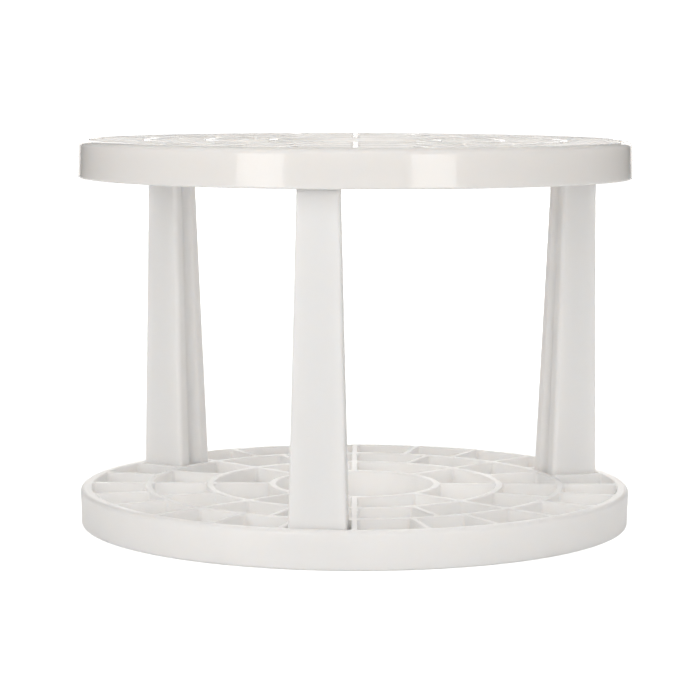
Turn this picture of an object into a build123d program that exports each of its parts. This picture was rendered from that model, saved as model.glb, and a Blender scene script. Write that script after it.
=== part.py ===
from build123d import *
import os
from math import radians, sin, tan

# Paint rack organizer: two round tiers of cells, one above the other, held apart by three tapered legs.
# Every tier has one open cup in the middle and three bands of cells round it, 49 cells in all.
# Origin: the centre of the underside of the base tray, where it stands. +Z is up, sizes are in mm.

# ---- driving dimensions -------------------------------------------------------------------------
tier_radius = 80.0
rim_wall = 3.2
tier_draft = 0.3             # how much smaller the radius is at the drafted edge of a rim

base_height = 10.6
base_floor = 1.6
cup_floor = 2.0              # the middle of the floor is thicker, where the plastic enters the mould
base_top_edge_radius = 1.2

grid_bottom = 100.4
grid_height = 10.8
grid_top_edge_radius = 1.8
rim_low_edge_radius = 0.5

ring_wall = 2.0
rib_wall = 1.6
centre_ring_radius = 24.0    # ring radii are to the middle of the wall
middle_ring_radius = 42.4
outer_ring_radius = 60.2
cells_in_band = (8, 16, 24)  # from the centre outwards
cell_corner_radius = 0.9     # upright corners inside a cell
cell_edge_radius = 0.35      # the rounded edge along the tops of the walls

leg_names = ("leg_front", "leg_back_right", "leg_back_left")
leg_angles = (262.5, 22.5, 142.5)
leg_outer_face = 75.8        # from the axis to the flat outer face, which stands upright
leg_foot_width = 16.3        # along the outer face, at the foot
leg_head_width = 11.6
leg_foot_inner_width = 13.8  # along the face towards the axis, at the foot
leg_head_inner_width = 9.8
leg_foot_depth = 14.35       # from the outer face inwards, at the foot
leg_head_depth = 10.4
leg_foot_groove_width = 5.8  # the rounded groove down the middle of the inner face
leg_head_groove_width = 3.8
leg_foot_groove_depth = 1.9
leg_head_groove_depth = 1.3
leg_outer_edge_radius = 0.8
leg_inner_edge_radius = 1.3
groove_lip_radius = 0.8
leg_wall = 1.8               # the leg is hollow, open at the foot
leg_head_plate = 3.0         # solid plastic that closes the head
cavity_corner_radius = 0.8

spigot_width = 7.2           # the block on the head that goes into the grid
spigot_depth = 5.6
spigot_height = 8.0
spigot_corner_radius = 0.8
spigot_lead_in = 0.6
socket_floor = 2.0           # the plate across a leg's cell in the grid, which rests on the head
socket_clearance = 0.1       # on each side of the spigot

foot_socket_height = 6.4     # the solid part of a leg's cell in the tray, which the foot drops into
foot_socket_clearance = 0.15

# ---- derived places -----------------------------------------------------------------------------
rim_inner_radius = tier_radius - rim_wall
ring_radii = (centre_ring_radius, middle_ring_radius, outer_ring_radius)
centre_cup_radius = centre_ring_radius - ring_wall / 2
band_inner_radii = tuple(radius + ring_wall / 2 for radius in ring_radii)
band_outer_radii = (
    middle_ring_radius - ring_wall / 2,
    outer_ring_radius - ring_wall / 2,
    rim_inner_radius,
)
leg_foot_bottom = base_floor  # the foot stands on the tray's floor
leg_head_centre = leg_outer_face - leg_head_depth / 2


# ---- the web of cells, the same in both tiers ---------------------------------------------------
def cell_outline(band):
    """One cell of a band as a face on XY: two arcs and two sides parallel to the ribs' middles."""
    inner = band_inner_radii[band]
    outer = band_outer_radii[band]
    half_angle = 180 / cells_in_band[band]
    apex = rib_wall / 2 / sin(radians(half_angle))
    reach = outer * 1.5
    spread = reach * tan(radians(half_angle))
    wedge = make_face(
        Polyline((apex, 0), (apex + reach, -spread), (apex + reach, spread), close=True)
    )
    outline = (Circle(outer) - Circle(inner)) & wedge
    return fillet(outline.vertices(), cell_corner_radius)


def cell_cutter(band, bottom, top):
    return Pos(0, 0, bottom) * extrude(cell_outline(band), top - bottom)


def cell_angles(band):
    """The middles of a band's cells. There is a rib along +X in every band."""
    step = 360 / cells_in_band[band]
    return [step * (index + 0.5) for index in range(cells_in_band[band])]


def is_leg_cell(band, angle):
    return band == 2 and any(abs(angle - leg_angle) < 1 for leg_angle in leg_angles)


def web_cutters(bottom, top, cup_bottom, leg_cell_bottom):
    """Everything that the 49 cells take out of a tier."""
    cup = Pos(0, 0, cup_bottom) * Cylinder(
        centre_cup_radius, top - cup_bottom, align=(Align.CENTER, Align.CENTER, Align.MIN)
    )
    cutters = [cup]
    for band in range(len(cells_in_band)):
        plain = cell_cutter(band, bottom, top)
        for angle in cell_angles(band):
            cell = cell_cutter(band, leg_cell_bottom, top) if is_leg_cell(band, angle) else plain
            cutters.append(Rot(0, 0, angle) * cell)
    return cutters


def disc(low_radius, high_radius, height):
    """A solid round plate with a drafted outer side."""
    profile = make_face(
        Polyline((0, 0), (low_radius, 0), (high_radius, height), (0, height), close=True)
    )
    return revolve(Plane.XZ * profile, Axis.Z)


def rounded_cell_tops(tier):
    """Round the inner edges of the top face, which are the tops of the cells' walls."""
    top_face = tier.faces().sort_by(Axis.Z)[-1]
    edges = [edge for wire in top_face.inner_wires() for edge in wire.edges()]
    return fillet(edges, cell_edge_radius)


def rounded_rim(tier, place, radius):
    """Round the outside edge of the lowest face (place 0) or of the highest one (place -1)."""
    face = tier.faces().sort_by(Axis.Z)[place]
    return fillet(face.outer_wire().edges(), radius)


# ---- the tiers ----------------------------------------------------------------------------------
def foot_socket():
    """The pocket that a leg's foot stands in, a trapezoid with no tongue for the groove."""
    outer = leg_outer_face + foot_socket_clearance
    inner = leg_outer_face - leg_foot_depth - foot_socket_clearance
    outer_half = leg_foot_width / 2 + foot_socket_clearance
    inner_half = leg_foot_inner_width / 2 + foot_socket_clearance
    outline = make_face(
        Polyline(
            (inner, inner_half), (outer, outer_half), (outer, -outer_half), (inner, -inner_half), close=True
        )
    )
    return Pos(0, 0, base_floor) * extrude(outline, base_height)


def spigot_outline(margin):
    """The spigot's section, or with a margin the hole that it goes through, for a leg along +X."""
    outline = RectangleRounded(
        spigot_depth + 2 * margin, spigot_width + 2 * margin, spigot_corner_radius + margin
    )
    return Pos(leg_head_centre, 0) * outline


def base_tray():
    tier = disc(tier_radius - tier_draft, tier_radius, base_height)
    tier -= web_cutters(base_floor, base_height + 1, cup_floor, base_floor + foot_socket_height)
    tier = rounded_cell_tops(tier)
    tier = rounded_rim(tier, -1, base_top_edge_radius)
    tier = rounded_rim(tier, 0, rim_low_edge_radius)
    return tier - [Rot(0, 0, angle) * foot_socket() for angle in leg_angles]


def top_grid():
    tier = disc(tier_radius, tier_radius - tier_draft, grid_height)
    tier -= web_cutters(-1, grid_height + 1, -1, socket_floor)
    tier = rounded_cell_tops(tier)
    tier = rounded_rim(tier, -1, grid_top_edge_radius)
    tier = rounded_rim(tier, 0, rim_low_edge_radius)
    socket = extrude(spigot_outline(socket_clearance), socket_floor)
    tier -= [Rot(0, 0, angle) * socket for angle in leg_angles]
    return Pos(0, 0, grid_bottom) * tier


# ---- the legs -----------------------------------------------------------------------------------
def between(foot, head, fraction):
    """A size part of the way up a leg: 0 at the foot, 1 at the head."""
    return foot + (head - foot) * fraction


def leg_section(fraction):
    """The outside of a leg as a face on XY, for a leg along +X: a trapezoid with a round groove."""
    outer = leg_outer_face
    inner = outer - between(leg_foot_depth, leg_head_depth, fraction)
    outer_half = between(leg_foot_width, leg_head_width, fraction) / 2
    inner_half = between(leg_foot_inner_width, leg_head_inner_width, fraction) / 2
    groove_half = between(leg_foot_groove_width, leg_head_groove_width, fraction) / 2
    groove_depth = between(leg_foot_groove_depth, leg_head_groove_depth, fraction)
    sides = Polyline(
        (inner, groove_half),
        (inner, inner_half),
        (outer, outer_half),
        (outer, -outer_half),
        (inner, -inner_half),
        (inner, -groove_half),
    )
    groove = ThreePointArc((inner, -groove_half), (inner + groove_depth, 0), (inner, groove_half))
    section = make_face([*sides.edges(), *groove.edges()])
    for corner, half, radius in (
        (outer, outer_half, leg_outer_edge_radius),
        (inner, inner_half, leg_inner_edge_radius),
        (inner, groove_half, groove_lip_radius),
    ):
        pair = [v for v in section.vertices() if is_corner(v, corner, half)]
        section = fillet(pair, radius)
    return section


def is_corner(vertex, x, y):
    return abs(vertex.X - x) < 0.01 and abs(abs(vertex.Y) - y) < 0.01


def cavity_section(fraction):
    """The hollow inside a leg, one wall in from the outside and from the bottom of the groove."""
    outer = leg_outer_face - leg_wall
    groove_depth = between(leg_foot_groove_depth, leg_head_groove_depth, fraction)
    leg_depth = between(leg_foot_depth, leg_head_depth, fraction)
    inner = leg_outer_face - leg_depth + groove_depth + leg_wall
    outer_half = between(leg_foot_width, leg_head_width, fraction) / 2
    inner_half = between(leg_foot_inner_width, leg_head_inner_width, fraction) / 2
    narrowing = (outer_half - inner_half) / leg_depth
    near_half = outer_half - leg_wall - narrowing * leg_wall
    far_half = near_half - narrowing * (outer - inner)
    outline = make_face(
        Polyline(
            (inner, far_half), (outer, near_half), (outer, -near_half), (inner, -far_half), close=True
        )
    )
    return fillet(outline.vertices(), cavity_corner_radius)


def leg():
    """A leg along +X, standing on the tray's floor, with its spigot through the grid's socket."""
    foot = Pos(0, 0, leg_foot_bottom)
    head = Pos(0, 0, grid_bottom)
    column = loft([foot * leg_section(0), head * leg_section(1)], ruled=True)
    cavity_top = grid_bottom - leg_head_plate
    top_fraction = (cavity_top - leg_foot_bottom) / (grid_bottom - leg_foot_bottom)
    cavity = loft(
        [foot * cavity_section(0), Pos(0, 0, cavity_top) * cavity_section(top_fraction)], ruled=True
    )
    spigot = Pos(0, 0, grid_bottom) * extrude(spigot_outline(0), spigot_height)
    lead_in = spigot.faces().sort_by(Axis.Z)[-1].edges()
    return column - cavity + chamfer(lead_in, spigot_lead_in)


# ---- output -------------------------------------------------------------------------------------
def all_parts():
    parts = {"base_tray": base_tray(), "top_grid": top_grid()}
    plain_leg = leg()
    for name, angle in zip(leg_names, leg_angles):
        parts[name] = Rot(0, 0, angle) * plain_leg
    return parts


os.makedirs("parts", exist_ok=True)
for node, solid in all_parts().items():
    export_step(solid, f"parts/{node}.step")
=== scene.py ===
import bpy
import math
from mathutils import Matrix, Vector


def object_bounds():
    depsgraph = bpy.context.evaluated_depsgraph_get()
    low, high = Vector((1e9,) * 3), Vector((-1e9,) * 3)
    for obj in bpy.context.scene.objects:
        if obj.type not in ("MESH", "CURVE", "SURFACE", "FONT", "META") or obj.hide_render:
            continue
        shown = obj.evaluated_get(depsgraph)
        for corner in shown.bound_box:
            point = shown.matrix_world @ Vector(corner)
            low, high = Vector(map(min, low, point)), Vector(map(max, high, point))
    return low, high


# The paint rack organizer's looks: glossy warm-white moulded plastic in a white studio.
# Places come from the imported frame. Everything is in metres, +Z up, with the front leg towards -Y.

# ---- camera -------------------------------------------------------------------------------------
CAMERA_DISTANCE = 0.7463
CAMERA_HEIGHT = 0.1315
CAMERA_PITCH = math.radians(6.24)     # looking down
CAMERA_PAN = math.radians(-0.11)      # to the right
CAMERA_ROLL = math.radians(-0.16)     # clockwise
CAMERA_LENS_MM = 132.2
CAMERA_SENSOR_MM = 36.0               # width
CAMERA_NEAREST = 0.01
CAMERA_FARTHEST = 50.0

# ---- plastic ------------------------------------------------------------------------------------
# The three whites are one plastic in lit and shaded copies. The tray's and legs' whites are painted
# lighter (painted light) and the grid's darker (painted shade), to give each part its tone under these
# lights.
TRAY_WHITE = (0.968, 0.958, 0.947)
LEG_WHITE = (0.977, 0.960, 0.941)
GRID_WHITE = (0.893, 0.884, 0.873)    # darker than the other whites, a painted shade: set, like LEG_WHITE, to give the right tone under these lights
WARM_TINT = (0.993, 0.990, 0.988)     # the other end of the faint changes of tone
TRAY_ROUGHNESS = (0.29, 0.38)         # each part's lowest and highest
GRID_ROUGHNESS = (0.05, 0.09)
LEG_ROUGHNESS = (0.34, 0.44)
PLASTIC_IOR = 1.5
TONE_SIZE = 0.045                     # how far apart the faint changes of tone are
POLISH_SIZE = TONE_SIZE / 3           # and the changes of roughness
GRAIN_SIZE = 0.00035                  # the fine grain of the mould's surface
GRAIN_DEPTH = 0.000012
GRAIN_STRENGTH = 0.6
RIPPLE_SIZE = 0.012                   # the slow unevenness left by shrinking
RIPPLE_DEPTH = 0.00002
RIPPLE_STRENGTH = 1.0
SCATTER_WEIGHT = 1.0                  # the share of the diffuse light that scatters under the surface
SCATTER_DEPTH = 0.002                 # how far that light travels
SCATTER_SPREAD = (1.0, 0.95, 0.9)     # that depth's share for red, green and blue
NOISE_RANGE = (0.3, 0.7)              # the part of a noise's range that is used
NOISE_ROUGHNESS = 0.5

# ---- studio -------------------------------------------------------------------------------------
WHITE = (1.0, 1.0, 1.0, 1.0)
BACKDROP_RADIUS = 8.0
BACKDROP_SEGMENTS = 48
BACKDROP_RINGS = 24
BACKDROP_GLOW = 1.2
LIGHT_COLOUR = (1.0, 0.978, 0.952)
WORLD_GLOW = 0.0                      # all the light comes from the softboxes
FLOOR_COLOUR = (0.9, 0.9, 0.9, 1.0)
FLOOR_ROUGHNESS = 0.9
FLOOR_SIZE = 6.0
FLOOR_GAP = 0.0002                    # the floor that the camera sees is just under the rack
BOUNCE_FLOOR_DROP = 0.001             # and the one that throws light back is a little lower
FLOOR_GLOW_NEAR = 0.62                # round the rack, where the softboxes light the floor too
FLOOR_GLOW_FAR = 1.2                  # the sweep beyond, as bright as the backdrop
FLOOR_FADE = (0.15, 0.6)              # the distances from the middle where the fade starts and ends
LIGHTS = {
    # name: (azimuth from the camera's side, elevation, distance, width, height, power, in reflections)
    "strip_left": (-37.2, 4.8, 1.5, 0.50, 0.30, 1.45, True),
    "strip_right": (30.6, 4.8, 1.5, 0.46, 0.30, 1.38, True),
    "back_low": (180, 1.4, 2.0, 1.6, 0.20, 1.05, True),
    "back_middle": (180, 10.6, 2.0, 1.6, 0.44, 3.8, True),
    "back_wide": (180, 14, 2.0, 4.0, 1.2, 15.5, False),
    "front": (0, 20, 1.8, 1.2, 1.0, 8.2, False),
    "front_high": (0, 52, 1.8, 1.2, 1.0, 5.4, False),
    "left_low": (-62, 30, 1.8, 1.0, 1.0, 9.0, False),
    "right_low": (68, 26, 1.8, 1.0, 1.0, 2.2, False),
    "right_high": (60, 45, 1.8, 1.0, 1.0, 4.4, False),
    "back_left": (-150, 30, 1.8, 1.0, 1.0, 7.0, False),
    "back_right": (150, 30, 1.8, 1.0, 1.0, 12.3, False),
}

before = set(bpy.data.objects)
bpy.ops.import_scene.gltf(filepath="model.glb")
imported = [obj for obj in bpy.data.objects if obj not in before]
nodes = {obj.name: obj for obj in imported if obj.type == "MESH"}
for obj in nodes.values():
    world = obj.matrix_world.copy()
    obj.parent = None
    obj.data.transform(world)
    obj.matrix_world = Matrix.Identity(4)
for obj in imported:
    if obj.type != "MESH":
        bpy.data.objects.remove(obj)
cad_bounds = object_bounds()
scene = bpy.context.scene


# ---- node helpers -------------------------------------------------------------------------------
def new_material(name):
    material = bpy.data.materials.new(name)
    material.use_nodes = True
    tree = material.node_tree
    tree.nodes.clear()
    output = tree.nodes.new("ShaderNodeOutputMaterial")
    return material, tree, output


def noise(tree, coordinates, size, detail):
    """Noise whose features are about `size` metres across."""
    node = tree.nodes.new("ShaderNodeTexNoise")
    node.inputs["Scale"].default_value = 1.0 / size
    node.inputs["Detail"].default_value = detail
    node.inputs["Roughness"].default_value = NOISE_ROUGHNESS
    tree.links.new(coordinates, node.inputs["Vector"])
    return node.outputs["Fac"]


def remap(tree, value, low, high):
    """Stretch a noise so that it runs from low to high."""
    noise_low, noise_high = NOISE_RANGE
    node = tree.nodes.new("ShaderNodeMapRange")
    node.inputs["From Min"].default_value = noise_low
    node.inputs["From Max"].default_value = noise_high
    node.inputs["To Min"].default_value = low
    node.inputs["To Max"].default_value = high
    tree.links.new(value, node.inputs["Value"])
    return node.outputs["Result"]


def bump(tree, height, distance, strength, before=None):
    node = tree.nodes.new("ShaderNodeBump")
    node.inputs["Distance"].default_value = distance
    node.inputs["Strength"].default_value = strength
    tree.links.new(height, node.inputs["Height"])
    if before is not None:
        tree.links.new(before, node.inputs["Normal"])
    return node.outputs["Normal"]


def moulded_plastic(name, colour, roughness):
    """Warm-white plastic: faint changes of tone, fine mould grain and slow shrink ripples."""
    material, tree, output = new_material(name)
    shader = tree.nodes.new("ShaderNodeBsdfPrincipled")
    tree.links.new(shader.outputs["BSDF"], output.inputs["Surface"])
    coordinates = tree.nodes.new("ShaderNodeTexCoord").outputs["Object"]

    tone = noise(tree, coordinates, TONE_SIZE, detail=3.0)
    mix = tree.nodes.new("ShaderNodeMix")
    mix.data_type = "RGBA"
    warmer = tuple(channel * tint for channel, tint in zip(colour, WARM_TINT))
    mix.inputs["A"].default_value = (*colour, 1.0)
    mix.inputs["B"].default_value = (*warmer, 1.0)
    tree.links.new(remap(tree, tone, 0.0, 1.0), mix.inputs["Factor"])
    tree.links.new(mix.outputs["Result"], shader.inputs["Base Color"])

    polish = noise(tree, coordinates, POLISH_SIZE, detail=4.0)
    tree.links.new(remap(tree, polish, *roughness), shader.inputs["Roughness"])

    grain = noise(tree, coordinates, GRAIN_SIZE, detail=2.0)
    ripple = noise(tree, coordinates, RIPPLE_SIZE, detail=1.0)
    normal = bump(tree, ripple, RIPPLE_DEPTH, RIPPLE_STRENGTH)
    normal = bump(tree, grain, GRAIN_DEPTH, GRAIN_STRENGTH, before=normal)
    tree.links.new(normal, shader.inputs["Normal"])

    shader.inputs["IOR"].default_value = PLASTIC_IOR
    shader.inputs["Subsurface Weight"].default_value = SCATTER_WEIGHT
    shader.inputs["Subsurface Radius"].default_value = SCATTER_SPREAD
    shader.inputs["Subsurface Scale"].default_value = SCATTER_DEPTH
    return material


def white_glow(name, strength):
    material, tree, output = new_material(name)
    shader = tree.nodes.new("ShaderNodeEmission")
    shader.inputs["Color"].default_value = WHITE
    shader.inputs["Strength"].default_value = strength
    tree.links.new(shader.outputs["Emission"], output.inputs["Surface"])
    return material


# ---- the rack -----------------------------------------------------------------------------------
def dress(node_name, material):
    piece = nodes[node_name]
    piece.data.materials.clear()
    piece.data.materials.append(material)


# The tray and legs get the lighter whites (painted light) and the grid the darker white (painted
# shade).
tray_plastic = moulded_plastic("tray_plastic", TRAY_WHITE, TRAY_ROUGHNESS)
grid_plastic = moulded_plastic("grid_plastic", GRID_WHITE, GRID_ROUGHNESS)
leg_plastic = moulded_plastic("leg_plastic", LEG_WHITE, LEG_ROUGHNESS)
dress("base_tray", tray_plastic)
dress("top_grid", grid_plastic)
for leg in ("leg_front", "leg_back_right", "leg_back_left"):
    dress(leg, leg_plastic)


# ---- the studio's pieces ------------------------------------------------------------------------
def add_mesh(name, corners, faces):
    mesh = bpy.data.meshes.new(name)
    mesh.from_pydata(corners, [], faces)
    piece = bpy.data.objects.new(name, mesh)
    scene.collection.objects.link(piece)
    return piece


def floor_material(name):
    material, tree, output = new_material(name)
    shader = tree.nodes.new("ShaderNodeBsdfPrincipled")
    shader.inputs["Base Color"].default_value = FLOOR_COLOUR
    shader.inputs["Roughness"].default_value = FLOOR_ROUGHNESS
    tree.links.new(shader.outputs["BSDF"], output.inputs["Surface"])
    return material, tree, shader


def add_glow(tree, shader):
    """Make a floor glow white, more so away from the rack."""
    fade_start, fade_end = FLOOR_FADE
    coordinates = tree.nodes.new("ShaderNodeTexCoord").outputs["Object"]
    reach = tree.nodes.new("ShaderNodeVectorMath")
    reach.operation = "LENGTH"
    tree.links.new(coordinates, reach.inputs[0])
    fade = tree.nodes.new("ShaderNodeMapRange")
    fade.inputs["From Min"].default_value = fade_start
    fade.inputs["From Max"].default_value = fade_end
    fade.inputs["To Min"].default_value = FLOOR_GLOW_NEAR
    fade.inputs["To Max"].default_value = FLOOR_GLOW_FAR
    tree.links.new(reach.outputs["Value"], fade.inputs["Value"])
    shader.inputs["Emission Color"].default_value = WHITE
    tree.links.new(fade.outputs["Result"], shader.inputs["Emission Strength"])


def add_floor(name, z, glows):
    half = FLOOR_SIZE / 2
    corners = [(x, y, z) for x, y in ((-half, -half), (half, -half), (half, half), (-half, half))]
    floor = add_mesh(name, corners, [(0, 1, 2, 3)])
    material, tree, shader = floor_material(name)
    if glows:
        add_glow(tree, shader)
    floor.data.materials.append(material)
    return floor


def show_only_to_camera(piece):
    piece.visible_diffuse = False
    piece.visible_glossy = False
    piece.visible_transmission = False
    piece.visible_shadow = False


def add_backdrop():
    """A white dome that only the camera sees, so that it doesn't light the rack."""
    bpy.ops.mesh.primitive_uv_sphere_add(
        segments=BACKDROP_SEGMENTS,
        ring_count=BACKDROP_RINGS,
        radius=BACKDROP_RADIUS,
    )
    dome = bpy.context.object
    dome.name = "studio_backdrop"
    dome.data.materials.append(white_glow("studio_backdrop", BACKDROP_GLOW))
    show_only_to_camera(dome)


def add_light(name, azimuth, elevation, distance, width, height, power, in_reflections):
    """A softbox aimed at the middle of the rack."""
    low, high = cad_bounds
    target = Vector((0.0, 0.0, (low[2] + high[2]) / 2))
    around = math.radians(azimuth)
    up = math.radians(elevation)
    direction = Vector((
        math.sin(around) * math.cos(up),
        -math.cos(around) * math.cos(up),
        math.sin(up),
    ))
    data = bpy.data.lights.new(name, "AREA")
    data.shape = "RECTANGLE"
    data.size = width
    data.size_y = height
    data.energy = power
    data.color = LIGHT_COLOUR
    lamp = bpy.data.objects.new(name, data)
    lamp.location = target + direction * distance
    lamp.rotation_euler = direction.to_track_quat("Z", "Y").to_euler()
    lamp.visible_glossy = in_reflections
    scene.collection.objects.link(lamp)


def add_world():
    world = bpy.data.worlds.new("studio_world")
    scene.world = world
    world.use_nodes = True
    background = world.node_tree.nodes["Background"]
    background.inputs["Color"].default_value = WHITE
    background.inputs["Strength"].default_value = WORLD_GLOW


def add_camera():
    data = bpy.data.cameras.new("camera")
    data.lens = CAMERA_LENS_MM
    data.sensor_width = CAMERA_SENSOR_MM
    data.clip_start = CAMERA_NEAREST
    data.clip_end = CAMERA_FARTHEST
    camera = bpy.data.objects.new("camera", data)
    scene.collection.objects.link(camera)
    turn = (
        Matrix.Rotation(-CAMERA_PAN, 4, "Z")
        @ Matrix.Rotation(math.pi / 2 - CAMERA_PITCH, 4, "X")
        @ Matrix.Rotation(-CAMERA_ROLL, 4, "Z")
    )
    camera.matrix_world = Matrix.Translation((0.0, -CAMERA_DISTANCE, CAMERA_HEIGHT)) @ turn
    scene.camera = camera


seen_floor = add_floor("studio_floor", -FLOOR_GAP, True)
show_only_to_camera(seen_floor)
bounce_floor = add_floor("studio_bounce_floor", -BOUNCE_FLOOR_DROP, False)
bounce_floor.visible_camera = False
add_backdrop()
add_world()
for light_name, settings in LIGHTS.items():
    add_light(light_name, *settings)
add_camera()
scene.view_settings.view_transform = "Standard"
scene.view_settings.look = "None"
